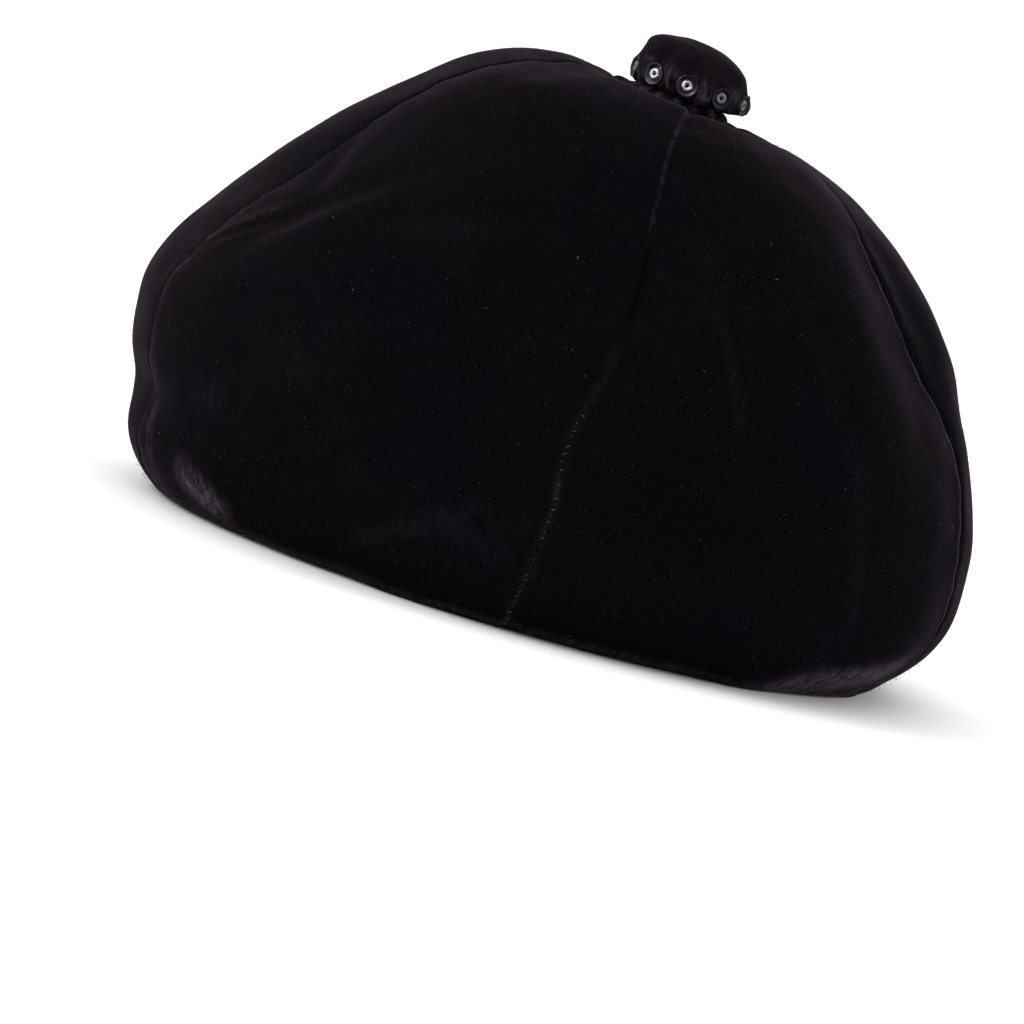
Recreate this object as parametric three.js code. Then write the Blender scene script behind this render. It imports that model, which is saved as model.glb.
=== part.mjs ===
// A velvet beret: five gores sewn into a high round crown, with a covered button
// on a gathered stem, ringed by cup sequins that each hold a small bead.
// Millimetres, +Z up. The origin is on the floor under the middle of the crown.
// The wearer's face is towards -Y, and bearings are degrees anticlockwise from +X.

import * as THREE from 'three';

// Crown
const GORES = 5;
const FIRST_SEAM = 52.5;
const LEAN_BEARING = 212.3;
const CLOTH = 2.0;
const SEAM_GAP = 0.3;
const SEAM_RISE = 0.25;
const PUFF_CURVE = 1.5;
const GROOVE_DEPTH = 1.2;
const GROOVE_WIDTH = 3.0;

// Head opening, an oval
const OPENING_WIDTH = 164;
const OPENING_LENGTH = 196;

// Button
const BUTTON_LEAN = 9.0;
const BUTTON_HEIGHT = 164.0;
const BUTTON_TILT = 8.0;
const STEM_PLEATS = 16;

// Sequins and beads
const SEQUINS = 10;
const FIRST_SEQUIN = 10.8;
const SEQUIN_RADIUS = 3.4;
const SEQUIN_SHEET = 0.45;
const SEQUIN_BACK = 17.2;
const SEQUIN_HEIGHT = -1.35;
const SEQUIN_SHIFT = 0.5;
const SEQUIN_TILT = -4.3;
const BEAD_RADIUS = 1.9;
const BEAD_HOLE = 0.45;
const BEAD_LENGTH = 2.4;
const SEWN_GAP = 0.3;

// Crown sections, from under the button down to the head opening.
// radius and height place the ring, lean shifts it towards LEAN_BEARING, tilt raises
// its leaning side, puff swells each gore between its seams, sway turns the seams
// in degrees, and oval blends the ring into the head opening.
const crownSections = [
  { radius: 14.0, height: 150.5, lean: 7.2, tilt: -2.0, puff: 0.0, sway: 12.0, oval: 0.0 },
  { radius: 26.0, height: 155.0, lean: 8.3, tilt: -3.0, puff: 0.5, sway: 5.0, oval: 0.0 },
  { radius: 39.0, height: 156.0, lean: 9.0, tilt: -4.5, puff: 2.0, sway: 0.0, oval: 0.0 },
  { radius: 62.0, height: 145.5, lean: 8.5, tilt: -7.0, puff: 5.0, sway: -2.0, oval: 0.0 },
  { radius: 86.0, height: 123.5, lean: 7.0, tilt: -7.0, puff: 8.0, sway: -0.5, oval: 0.0 },
  { radius: 105.0, height: 100.0, lean: 5.0, tilt: -7.0, puff: 8.5, sway: 1.2, oval: 0.0 },
  { radius: 121.0, height: 78.5, lean: 2.0, tilt: -6.5, puff: 5.5, sway: 0.8, oval: 0.0 },
  { radius: 131.0, height: 59.5, lean: -0.5, tilt: -6.5, puff: 2.0, sway: -0.2, oval: 0.0 },
  { radius: 133.0, height: 40.0, lean: 0.0, tilt: -6.5, puff: 1.0, sway: 0.0, oval: 0.0 },
  { radius: 129.0, height: 20.0, lean: 0.0, tilt: -3.0, puff: 0.5, sway: -0.5, oval: 0.0 },
  { radius: 119.5, height: 5.5, lean: -0.5, tilt: 0.0, puff: 0.5, sway: -1.2, oval: 0.0 },
  { radius: 111.0, height: 0.0, lean: 0.0, tilt: 0.0, puff: 0.0, sway: -1.3, oval: 0.0 },
  { radius: 104.0, height: 0.0, lean: 0.0, tilt: 0.0, puff: 0.0, sway: -1.3, oval: 0.25 },
  { radius: 99.0, height: 1.5, lean: 0.0, tilt: 0.0, puff: 0.0, sway: -1.3, oval: 1.0 },
];

// Folds and dents. bearing and reach place the middle, reach being the way down the
// cloth from the button; length and width are half sizes, slant turns the fold
// from level towards downhill, and depth is inwards.
const folds = [
  { bearing: 194, reach: 90, length: 42, width: 16, slant: 90, depth: 3.2 },
  { bearing: 71, reach: 120, length: 32, width: 6, slant: -53, depth: 2.6 },
  { bearing: 76, reach: 128, length: 36, width: 9, slant: -53, depth: -1.8 },
  { bearing: 61, reach: 108, length: 15, width: 5, slant: 49, depth: 2.4 },
  { bearing: 48, reach: 196, length: 34, width: 7, slant: 0, depth: 3.4 },
  { bearing: 48, reach: 211, length: 38, width: 9, slant: 0, depth: -1.6 },
  { bearing: 96, reach: 199, length: 34, width: 12, slant: 20, depth: 1.6 },
  { bearing: 262, reach: 92, length: 36, width: 13, slant: 80, depth: 3.4 },
  { bearing: 338, reach: 112, length: 34, width: 9, slant: 35, depth: 2.4 },
  { bearing: 12, reach: 176, length: 36, width: 10, slant: -15, depth: 2.2 },
  { bearing: 232, reach: 188, length: 32, width: 10, slant: 12, depth: 1.8 },
];

// Button cap sections. shift moves a ring towards LEAN_BEARING, rise lifts its leaning
// side, and pucker draws the cloth in behind each sequin.
const capSections = [
  { radius: 5.0, height: 12.0, shift: 0.0, rise: 0.0, pucker: 0.0 },
  { radius: 8.8, height: 11.0, shift: 0.0, rise: 0.0, pucker: 0.0 },
  { radius: 12.9, height: 9.5, shift: -0.6, rise: 0.0, pucker: 0.0 },
  { radius: 15.8, height: 7.5, shift: -0.7, rise: 0.2, pucker: 0.0 },
  { radius: 17.0, height: 5.0, shift: -0.3, rise: 0.6, pucker: 0.2 },
  { radius: 17.6, height: 2.6, shift: 0.0, rise: 1.0, pucker: 0.8 },
  { radius: 18.6, height: 0.4, shift: 0.3, rise: 1.3, pucker: 1.9 },
  { radius: 18.6, height: -1.8, shift: 0.7, rise: 1.3, pucker: 2.2 },
  { radius: 18.0, height: -3.8, shift: 0.9, rise: 1.3, pucker: 1.4 },
  { radius: 16.4, height: -5.1, shift: -0.3, rise: 1.2, pucker: 0.6 },
  { radius: 13.6, height: -5.6, shift: -0.8, rise: 1.1, pucker: 0.0 },
];
const CAP_CROWN = 12.3;

// Stem sections, with the same columns; pleat is the depth of the gathers.
const stemSections = [
  { radius: 14.0, height: -5.9, shift: -0.8, rise: 1.1, pleat: 0.5 },
  { radius: 16.6, height: -6.6, shift: -1.2, rise: 1.2, pleat: 1.2 },
  { radius: 17.0, height: -8.0, shift: -1.2, rise: 1.0, pleat: 1.5 },
  { radius: 16.2, height: -9.8, shift: -1.0, rise: 0.6, pleat: 1.3 },
  { radius: 14.4, height: -11.3, shift: -0.4, rise: 0.2, pleat: 0.8 },
  { radius: 13.4, height: -12.6, shift: 0.0, rise: 0.0, pleat: 0.5 },
  { radius: 12.9, height: -15.6, shift: 0.0, rise: 0.0, pleat: 0.3 },
];

// How finely the cloth is divided: places across half a gore, and steps to a section.
const goreStops = [0, 0.27, 0.52, 0.72, 0.87, 0.955, 1];
const STEPS_PER_SECTION = 2;
const CAP_SIDES = 40;
const STEM_SIDES = 48;
const ROUND_SIDES = 12;

const velvet = () => new THREE.MeshStandardMaterial({ color: 0x17141a, roughness: 0.95, metalness: 0 });
const foil = () => new THREE.MeshStandardMaterial({ color: 0x1c1a22, roughness: 0.22, metalness: 0.6 });
const glass = () => new THREE.MeshStandardMaterial({ color: 0xd8d4e2, roughness: 0.08, metalness: 0 });

const radians = THREE.MathUtils.degToRad;
const goreAngle = radians(360 / GORES);

function makeMesh(name, geometry, material) {
  const mesh = new THREE.Mesh(geometry, material);
  mesh.name = name;
  return mesh;
}

// A smooth value of one column at a place between the rows of a table.
function columnAt(rows, column, place) {
  const last = rows.length - 1;
  const i = Math.min(Math.floor(place), last - 1);
  const here = rows[i][column];
  const next = rows[i + 1][column];
  const before = i > 0 ? rows[i - 1][column] : 2 * here - next;
  const after = i + 2 <= last ? rows[i + 2][column] : 2 * next - here;
  const f = place - i;
  const slope = next - before;
  const bend = 2 * before - 5 * here + 4 * next - after;
  const twist = 3 * here - before - 3 * next + after;
  return here + 0.5 * f * (slope + f * (bend + f * twist));
}

// The way down the cloth from the button to each crown section.
function addReach(rows) {
  let reach = 0;
  rows.forEach((row, i) => {
    if (i > 0) {
      const above = rows[i - 1];
      reach += Math.hypot(row.radius - above.radius, row.height - above.height);
    }
    row.reach = reach;
  });
}
addReach(crownSections);

// Seam bearing of gore number k at a place down the crown, in radians.
function seamBearing(k, place) {
  return radians(FIRST_SEAM + columnAt(crownSections, 'sway', place)) + k * goreAngle;
}

// Radius of the head opening's oval at a bearing.
function openingRadius(bearing) {
  const across = Math.cos(bearing) / (OPENING_WIDTH / 2);
  const along = Math.sin(bearing) / (OPENING_LENGTH / 2);
  return 1 / Math.hypot(across, along);
}

// How far the folds push the cloth in at a point of the crown.
function foldDepth(bearing, place) {
  const radius = columnAt(crownSections, 'radius', place);
  const reach = columnAt(crownSections, 'reach', place);
  let depth = 0;
  for (const fold of folds) {
    const turn = bearing - radians(fold.bearing);
    const level = Math.atan2(Math.sin(turn), Math.cos(turn)) * radius;
    const down = reach - fold.reach;
    const slant = radians(fold.slant);
    const along = (level * Math.cos(slant) + down * Math.sin(slant)) / fold.length;
    const across = (down * Math.cos(slant) - level * Math.sin(slant)) / fold.width;
    depth += fold.depth * Math.exp(-along * along - across * across);
  }
  return depth;
}

// A point of a crown ring, swell being what is added to its radius.
function ringPoint(bearing, place, swell) {
  const at = (column) => columnAt(crownSections, column, place);
  const lean = radians(LEAN_BEARING);
  const oval = at('oval');
  const radius = (1 - oval) * at('radius') + oval * openingRadius(bearing) + swell;
  const x = radius * Math.cos(bearing) + at('lean') * Math.cos(lean);
  const y = radius * Math.sin(bearing) + at('lean') * Math.sin(lean);
  const z = at('height') + at('tilt') * Math.cos(bearing - lean);
  return new THREE.Vector3(x, y, Math.max(0, z));
}

// The cloth's outward direction, without puff, folds or seams.
function outward(bearing, place) {
  const nudge = 0.02;
  const last = crownSections.length - 1;
  const above = ringPoint(bearing, Math.max(0, place - nudge), 0);
  const below = ringPoint(bearing, Math.min(last, place + nudge), 0);
  const left = ringPoint(bearing - nudge, place, 0);
  const right = ringPoint(bearing + nudge, place, 0);
  return below.sub(above).cross(right.sub(left)).normalize();
}

// How far out a gore is puffed, from its seams (-1 and 1) to its middle (0).
function puffShare(across) {
  const square = across ** 2;
  return SEAM_RISE + (1 - SEAM_RISE) * (1 - PUFF_CURVE * square + (PUFF_CURVE - 1) * square ** 2);
}

// Outer and inner point of the cloth of gore k, at -1 to 1 across and a place down.
function clothPoints(k, across, place) {
  const radius = columnAt(crownSections, 'radius', place);
  const halfArc = radius * goreAngle / 2;
  const trimmed = across * (1 - SEAM_GAP / 2 / halfArc);
  const bearing = seamBearing(k, place) + (1 + trimmed) * goreAngle / 2;
  const puff = columnAt(crownSections, 'puff', place) * puffShare(trimmed);
  const outer = ringPoint(bearing, place, puff);
  const normal = outward(bearing, place);
  const fromSeam = (1 - Math.abs(trimmed)) * halfArc / GROOVE_WIDTH;
  const groove = GROOVE_DEPTH * Math.exp(-(fromSeam ** 2));
  outer.addScaledVector(normal, -groove - foldDepth(bearing, place));
  outer.z = Math.max(0, outer.z);
  const inner = outer.clone().addScaledVector(normal, -CLOTH);
  return { outer, inner };
}

function geometryOf(points, faces) {
  const geometry = new THREE.BufferGeometry();
  const positions = points.flatMap((point) => [point.x, point.y, point.z]);
  geometry.setAttribute('position', new THREE.Float32BufferAttribute(positions, 3));
  geometry.setIndex(faces);
  geometry.computeVertexNormals();
  return geometry;
}

// A closed solid between an outer and an inner grid of points, both as columns
// that run anticlockwise, each of points that run down.
function wallBetween(outer, inner) {
  const columns = outer.length;
  const rows = outer[0].length;
  const at = (layer, i, j) => (layer * columns + i) * rows + j;
  const faces = [];
  const quad = (a, b, c, d) => faces.push(a, b, c, a, c, d);
  for (let i = 0; i < columns - 1; i += 1) {
    for (let j = 0; j < rows - 1; j += 1) {
      quad(at(0, i, j), at(0, i, j + 1), at(0, i + 1, j + 1), at(0, i + 1, j));
      quad(at(1, i, j), at(1, i + 1, j), at(1, i + 1, j + 1), at(1, i, j + 1));
    }
    quad(at(0, i, 0), at(0, i + 1, 0), at(1, i + 1, 0), at(1, i, 0));
    quad(at(0, i, rows - 1), at(1, i, rows - 1), at(1, i + 1, rows - 1), at(0, i + 1, rows - 1));
  }
  const end = columns - 1;
  for (let j = 0; j < rows - 1; j += 1) {
    quad(at(0, 0, j), at(1, 0, j), at(1, 0, j + 1), at(0, 0, j + 1));
    quad(at(0, end, j), at(0, end, j + 1), at(1, end, j + 1), at(1, end, j));
  }
  return geometryOf([...outer.flat(), ...inner.flat()], faces);
}

// A closed solid of level rings, each anticlockwise, from the top one down.
function stackOfRings(rings, topHeight, bottomHeight) {
  const sides = rings[0].length;
  const points = rings.flat();
  const top = points.push(new THREE.Vector3(0, 0, topHeight)) - 1;
  const bottom = points.push(new THREE.Vector3(0, 0, bottomHeight)) - 1;
  const lastRing = (rings.length - 1) * sides;
  const faces = [];
  for (let i = 0; i < sides; i += 1) {
    const next = (i + 1) % sides;
    faces.push(top, i, next);
    faces.push(bottom, lastRing + next, lastRing + i);
    for (let j = 0; j < rings.length - 1; j += 1) {
      const upper = j * sides;
      const lower = upper + sides;
      faces.push(upper + i, lower + i, lower + next, upper + i, lower + next, upper + next);
    }
  }
  return geometryOf(points, faces);
}

function crownGore(k) {
  const stops = [...goreStops.slice(1).reverse().map((stop) => -stop), ...goreStops];
  const steps = (crownSections.length - 1) * STEPS_PER_SECTION;
  const outer = [];
  const inner = [];
  for (const across of stops) {
    const places = Array.from({ length: steps + 1 }, (_, j) => j / STEPS_PER_SECTION);
    const column = places.map((place) => clothPoints(k, across, place));
    outer.push(column.map((pair) => pair.outer));
    inner.push(column.map((pair) => pair.inner));
  }
  return makeMesh(`crown_gore_${k + 1}`, wallBetween(outer, inner), velvet());
}

// One ring of the button, drawn in by depth wherever wave is high.
function buttonRing(section, sides, depth, wave) {
  return Array.from({ length: sides }, (_, i) => {
    const angle = i * 2 * Math.PI / sides;
    const lean = radians(LEAN_BEARING);
    const radius = section.radius - depth * wave(angle);
    const x = radius * Math.cos(angle) + section.shift * Math.cos(lean);
    const y = radius * Math.sin(angle) + section.shift * Math.sin(lean);
    return new THREE.Vector3(x, y, section.height + section.rise * Math.cos(angle - lean));
  });
}

function buttonCap() {
  const behindSequins = (angle) => 0.5 + 0.5 * Math.cos(SEQUINS * (angle - radians(FIRST_SEQUIN)));
  const ringOf = (section) => buttonRing(section, CAP_SIDES, section.pucker, behindSequins);
  const rings = capSections.map(ringOf);
  const bottomHeight = capSections[capSections.length - 1].height;
  return makeMesh('button_cap', stackOfRings(rings, CAP_CROWN, bottomHeight), velvet());
}

function buttonStem() {
  const gathers = (angle) => 0.5 + 0.5 * Math.cos(STEM_PLEATS * angle);
  const ringOf = (section) => buttonRing(section, STEM_SIDES, section.pleat, gathers);
  const rings = stemSections.map(ringOf);
  const topHeight = stemSections[0].height;
  const bottomHeight = stemSections[stemSections.length - 1].height;
  return makeMesh('button_stem', stackOfRings(rings, topHeight, bottomHeight), velvet());
}

// A shallow cup turned about Y, opening towards +Y, with its back at the origin.
function sequinGeometry() {
  const backRadius = SEQUIN_RADIUS * 0.36;
  const cupDepth = SEQUIN_RADIUS * 0.36;
  const holeRadius = SEQUIN_SHEET;
  const profile = [
    [holeRadius, 0],
    [backRadius, 0],
    [SEQUIN_RADIUS, cupDepth],
    [SEQUIN_RADIUS, cupDepth + SEQUIN_SHEET],
    [backRadius, SEQUIN_SHEET],
    [holeRadius, SEQUIN_SHEET],
    [holeRadius, 0],
  ];
  return new THREE.LatheGeometry(profile.map(([x, y]) => new THREE.Vector2(x, y)), ROUND_SIDES);
}

// A drilled bead turned about Y, with one end at the origin.
function beadGeometry() {
  const middle = (BEAD_RADIUS + BEAD_HOLE) / 2;
  const halfWall = (BEAD_RADIUS - BEAD_HOLE) / 2;
  const corners = 6;
  const profile = Array.from({ length: corners + 1 }, (_, i) => {
    const angle = (i % corners) * 2 * Math.PI / corners;
    const y = BEAD_LENGTH / 2 * (1 + Math.sin(angle) / Math.sin(Math.PI / 3));
    return new THREE.Vector2(middle + halfWall * Math.cos(angle), y);
  });
  return new THREE.LatheGeometry(profile, ROUND_SIDES);
}

// A sequin with its bead, facing out from the button at one place of the ring.
function sequinWithBead(i) {
  const spot = new THREE.Group();
  spot.rotation.z = radians(FIRST_SEQUIN + i * 360 / SEQUINS);
  const sequin = makeMesh(`sequin_${i + 1}`, sequinGeometry(), foil());
  const bead = makeMesh(`bead_${i + 1}`, beadGeometry(), glass());
  sequin.position.x = SEQUIN_BACK;
  bead.position.x = SEQUIN_BACK + SEQUIN_SHEET + SEWN_GAP;
  for (const piece of [sequin, bead]) {
    piece.rotation.z = -Math.PI / 2;
    spot.add(piece);
  }
  return spot;
}

// A group shifted towards LEAN_BEARING, raised, and tilted towards it.
function leaningGroup(shift, height, tilt) {
  const group = new THREE.Group();
  const lean = radians(LEAN_BEARING);
  group.position.set(shift * Math.cos(lean), shift * Math.sin(lean), height);
  const levelAxis = new THREE.Vector3(-Math.sin(lean), Math.cos(lean), 0);
  group.setRotationFromAxisAngle(levelAxis, radians(tilt));
  return group;
}

function button() {
  const group = leaningGroup(BUTTON_LEAN, BUTTON_HEIGHT, BUTTON_TILT);
  const ring = leaningGroup(SEQUIN_SHIFT, SEQUIN_HEIGHT, SEQUIN_TILT);
  for (let i = 0; i < SEQUINS; i += 1) {
    ring.add(sequinWithBead(i));
  }
  group.add(buttonCap(), buttonStem(), ring);
  return group;
}

const beret = new THREE.Group();
for (let k = 0; k < GORES; k += 1) {
  beret.add(crownGore(k));
}
beret.add(button());

export default beret;
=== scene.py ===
import math

import bpy
import numpy as np
from mathutils import Matrix, Vector


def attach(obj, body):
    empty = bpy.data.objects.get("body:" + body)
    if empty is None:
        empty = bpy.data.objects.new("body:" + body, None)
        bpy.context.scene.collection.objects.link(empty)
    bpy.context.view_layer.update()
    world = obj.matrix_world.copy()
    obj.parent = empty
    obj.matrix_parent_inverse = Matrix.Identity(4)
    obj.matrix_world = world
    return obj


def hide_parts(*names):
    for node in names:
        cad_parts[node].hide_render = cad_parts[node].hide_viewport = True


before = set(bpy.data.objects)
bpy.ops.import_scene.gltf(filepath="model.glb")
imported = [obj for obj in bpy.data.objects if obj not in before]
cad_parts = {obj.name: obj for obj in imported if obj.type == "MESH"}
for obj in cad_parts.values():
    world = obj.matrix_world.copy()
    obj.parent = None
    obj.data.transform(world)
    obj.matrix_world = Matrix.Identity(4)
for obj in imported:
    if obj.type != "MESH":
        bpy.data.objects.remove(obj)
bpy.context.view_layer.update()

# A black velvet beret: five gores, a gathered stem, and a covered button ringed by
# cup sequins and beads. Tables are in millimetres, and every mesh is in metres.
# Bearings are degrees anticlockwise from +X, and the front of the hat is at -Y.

MM = 0.001

# Crown

GORES = 5
GORE_ANGLE = 2 * math.pi / GORES
FIRST_SEAM = math.radians(52.5)
LEAN_BEARING = math.radians(212.3)
CLOTH = 2.0
OPENING_WIDTH = 164.0
OPENING_LENGTH = 196.0

# Crown sections from under the button down to the head opening.
CROWN_COLUMNS = ("radius", "height", "lean", "tilt", "puff", "sway", "oval")
CROWN_SECTIONS = (
    (14.0, 150.5, 7.2, -2.0, 0.0, 12.0, 0.0),
    (26.0, 155.0, 8.3, -3.0, 0.5, 5.0, 0.0),
    (39.0, 156.0, 9.0, -4.5, 2.0, 0.0, 0.0),
    (62.0, 145.5, 8.5, -7.0, 5.0, -2.0, 0.0),
    (86.0, 123.5, 7.0, -7.0, 8.0, -0.5, 0.0),
    (105.0, 100.0, 5.0, -7.0, 8.5, 1.2, 0.0),
    (121.0, 78.5, 2.0, -6.5, 5.5, 0.8, 0.0),
    (131.0, 59.5, -0.5, -6.5, 2.0, -0.2, 0.0),
    (133.0, 40.0, 0.0, -6.5, 1.0, 0.0, 0.0),
    (129.0, 20.0, 0.0, -3.0, 0.5, -0.5, 0.0),
    (119.5, 5.5, -0.5, 0.0, 0.5, -1.2, 0.0),
    (111.0, 0.0, 0.0, 0.0, 0.0, -1.3, 0.0),
    (104.0, 0.0, 0.0, 0.0, 0.0, -1.3, 0.25),
    (99.0, 1.5, 0.0, 0.0, 0.0, -1.3, 1.0),
)
LAST_PLACE = len(CROWN_SECTIONS) - 1

# Folds and dents: bearing and reach of the middle, half length, half width, slant
# from level towards downhill, and depth inwards. Reach is the way down the cloth.
FOLDS = (
    (196, 84, 34, 7, 88, 1.0),
    (178, 100, 45, 14, 88, 1.0),
    (71, 120, 32, 6, -53, 1.3),
    (76, 128, 36, 9, -53, -1.0),
    (61, 108, 15, 5, 49, 1.0),
    (61, 136, 15, 2.6, -43, 1.1),
    (48, 196, 34, 7, 0, 3.4),
    (48, 211, 38, 9, 0, -1.6),
    (96, 199, 34, 12, 20, 1.6),
    (262, 92, 36, 13, 80, 3.4),
    (338, 112, 34, 9, 35, 2.4),
    (12, 176, 36, 10, -15, 2.2),
    (232, 188, 32, 10, 12, 1.8),
)

# Strokes where the pile looks paler, some brushed the other way and some painted sheen and
# highlights: bearing, reach, half length, half width, slant, and strength.
BRUSH_AND_SHEEN_MARKS = (
    (131, 101, 9, 1.6, 5, 0.03),
    (138, 108, 10, 1.6, 50, 0.03),
    (143, 129, 17, 1.8, 73, 0.04),
    (104, 206, 12, 3.0, -35, 0.05),
    (111, 196, 11, 3.0, -38, 0.06),
    (117, 199, 13, 4.0, 6, 0.05),
    (119, 190, 8, 2.5, 8, 0.04),
    (160, 128, 40, 4.0, 70, 0.02),
    (168, 170, 34, 4.0, 76, 0.025),
    # Painted sheen where the hem turns under at the left, and a painted highlight on the bulge above it.
    (71.5, 215.5, 12, 5.0, 22, 1.0),
    (57, 205, 8, 3.0, 75, 0.35),
    (59, 133, 14, 1.6, -43, 0.22),
    (72, 188, 9, 5.0, 0, 0.06),
    (95, 112, 14, 4.0, -20, 0.025),
    (86, 170, 16, 5.0, 10, 0.025),
    (74, 122, 22, 2.0, -50, 0.06),
    # Painted sheen along the turned-under hem, and faint painted light over the lower crown, which the
    # floor shades.
    (178, 217, 30, 7.5, -21, 1.3),
    (130, 226.5, 75, 3.5, 0, 0.6),
    (130, 202, 110, 20, 0, 0.018),
    (250, 150, 26, 4.0, 60, 0.05),
    (285, 120, 20, 4.0, 20, 0.05),
    (310, 176, 24, 5.0, -15, 0.06),
    # Painted sheen along the hem.
    (262, 210, 40, 5.0, 3, 0.35),
    (350, 140, 26, 4.0, 65, 0.05),
    (20, 120, 22, 4.0, 40, 0.05),
    (35, 180, 22, 5.0, 10, 0.05),
    # Painted sheen along the hem.
    (345, 208, 45, 5.0, -3, 0.35),
)


def smooth_between(before, here, after, beyond, share):
    """A smooth curve's value at a share of the way from here to after."""
    slope = after - before
    bend = 2 * before - 5 * here + 4 * after - beyond
    twist = 3 * here - before - 3 * after + beyond
    return here + 0.5 * share * (slope + share * (bend + share * twist))


def crown_at(place, column):
    """A smooth value of one column of the crown at places between its rows."""
    rows = CROWN[column]
    i = np.clip(np.floor(place).astype(int), 0, LAST_PLACE - 1)
    here, after = rows[i], rows[i + 1]
    before = np.where(i > 0, rows[np.maximum(i - 1, 0)], 2 * here - after)
    beyond = np.where(i + 2 <= LAST_PLACE, rows[np.minimum(i + 2, LAST_PLACE)], 2 * after - here)
    return smooth_between(before, here, after, beyond, place - i)


def crown_table():
    """The crown's columns as arrays, with reach, the way down the cloth, added."""
    table = dict(zip(CROWN_COLUMNS, np.array(CROWN_SECTIONS).T))
    steps = np.hypot(np.diff(table["radius"]), np.diff(table["height"]))
    table["reach"] = np.concatenate([[0.0], np.cumsum(steps)])
    return table


CROWN = crown_table()


def along_and_across(bearing, reach, radius, mark):
    """Where points lie in a mark's own directions, in units of its half sizes."""
    middle, down, length, width, slant = (float(value) for value in mark[:5])
    turn = bearing - math.radians(middle)
    level = np.arctan2(np.sin(turn), np.cos(turn)) * radius
    drop = reach - down
    slant = math.radians(slant)
    along = (level * math.cos(slant) + drop * math.sin(slant)) / length
    across = (drop * math.cos(slant) - level * math.sin(slant)) / width
    return along, across


def ring_points(bearing, place, swell=0.0):
    """Points of the crown's plain form, swell being added to the radius."""
    across = np.cos(bearing) / (OPENING_WIDTH / 2)
    along = np.sin(bearing) / (OPENING_LENGTH / 2)
    opening = 1 / np.hypot(across, along)
    oval = crown_at(place, "oval")
    radius = (1 - oval) * crown_at(place, "radius") + oval * opening + swell
    lean = crown_at(place, "lean")
    x = radius * np.cos(bearing) + lean * math.cos(LEAN_BEARING)
    y = radius * np.sin(bearing) + lean * math.sin(LEAN_BEARING)
    z = crown_at(place, "height") + crown_at(place, "tilt") * np.cos(bearing - LEAN_BEARING)
    return np.stack([x, y, np.maximum(z, 0.0)], axis=-1)


def outward(bearing, place):
    """The plain form's outward directions."""
    nudge = 0.02
    above = ring_points(bearing, np.maximum(place - nudge, 0))
    below = ring_points(bearing, np.minimum(place + nudge, LAST_PLACE))
    around = ring_points(bearing + nudge, place) - ring_points(bearing - nudge, place)
    normal = np.cross(below - above, around)
    return normal / np.linalg.norm(normal, axis=-1, keepdims=True)


WAVES = 18


def soft_waves(points, wavelength, height, seed):
    """A smooth unevenness in space, the sum of seeded waves of about one length."""
    random = np.random.default_rng(seed)
    total = np.zeros(points.shape[:-1])
    for _ in range(WAVES):
        direction = random.normal(size=3)
        direction /= np.linalg.norm(direction)
        number = 2 * math.pi / (wavelength * random.uniform(0.7, 1.5))
        total += np.sin(points @ direction * number + random.uniform(0, 2 * math.pi))
    return total * height / math.sqrt(WAVES / 2)


# Seams

SEAM_GAP = 0.12
SEAM_RISE, PUFF_CURVE = 0.25, 1.5
VALLEY_DEPTH, VALLEY_WIDTH = 1.3, 3.0
CREASE_DEPTH, CREASE_WIDTH = 0.3, 0.5
EDGE_DEPTH, EDGE_TURN = 1.5, 0.9
LAYER_HEIGHT, LAYER_WIDTH = 0.35, 5.0
SEAM_SHARPNESS = (0.2, 0.8, 1.4, 0.8, 0.9)
PUCKER_HEIGHT, PUCKER_LENGTH, PUCKER_WIDTH = 0.22, 11.0, 6.0
GATHER_HEIGHT, GATHER_REACH, GATHERS = 0.7, 8.0, 34

# One seam is pulled round by the fold beside it, most at this reach down the cloth.
PULLED_SEAM = 2
PULL_DEGREES, PULL_REACH, PULL_SPREAD = -9.0, 82.0, 34.0

# How much painted highlight lies along each seam, at some reaches down the cloth, in a
# narrow line, with a wider paler band round the stitches. The line lies on the seam, or on
# the crest of the folded side beside it.
SEAM_GLINT_WIDTH, BAND_WIDTH = (0.55, 0.55, 0.9, 0.55, 0.55), 1.5
SEAM_GLINT_CREST = (0.0, 0.0, 2.2, 0.0, 0.0)
SEAM_GLINT_REACH = (0, 20, 60, 85, 95, 118, 130, 175, 200, 240)
SEAM_GLINT = (
    (0.1, 0.0, 0.0, 0.0, 0.0, 0.1, 0.45, 0.40, 0.1, 0.0),
    (0.5, 0.65, 0.5, 0.35, 0.03, 0.0, 0.1, 0.2, 0.25, 0.3),
    (0.3, 0.5, 0.8, 1.0, 1.0, 1.0, 0.9, 0.7, 0.4, 0.2),
    (0.3, 0.3, 0.2, 0.1, 0.2, 0.3, 0.3, 0.2, 0.1, 0.1),
    (0.4, 0.3, 0.2, 0.2, 0.3, 0.2, 0.1, 0.2, 0.3, 0.2),
)
BAND = (0.0, 0.03, 0.0, 0.0, 0.0, 0.0, 0.06, 0.12, 0.12, 0.06)


def seam_bearing(seam, place):
    """The bearing of a seam, counted round from the first one."""
    bearing = FIRST_SEAM + np.radians(crown_at(place, "sway")) + seam * GORE_ANGLE
    if seam % GORES == PULLED_SEAM:
        far = (crown_at(place, "reach") - PULL_REACH) / PULL_SPREAD
        bearing = bearing + math.radians(PULL_DEGREES) * np.exp(-(far**4))
    return bearing


def puff_share(across):
    """How far out a gore is puffed, from its seams (-1 and 1) to its middle (0)."""
    square = across**2
    return SEAM_RISE + (1 - SEAM_RISE) * (1 - PUFF_CURVE * square + (PUFF_CURVE - 1) * square**2)


def nearest_seam(gore, across):
    """The number of the seam on each point's side of a gore."""
    return np.where(across < 0, gore, (gore + 1) % GORES)


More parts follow.
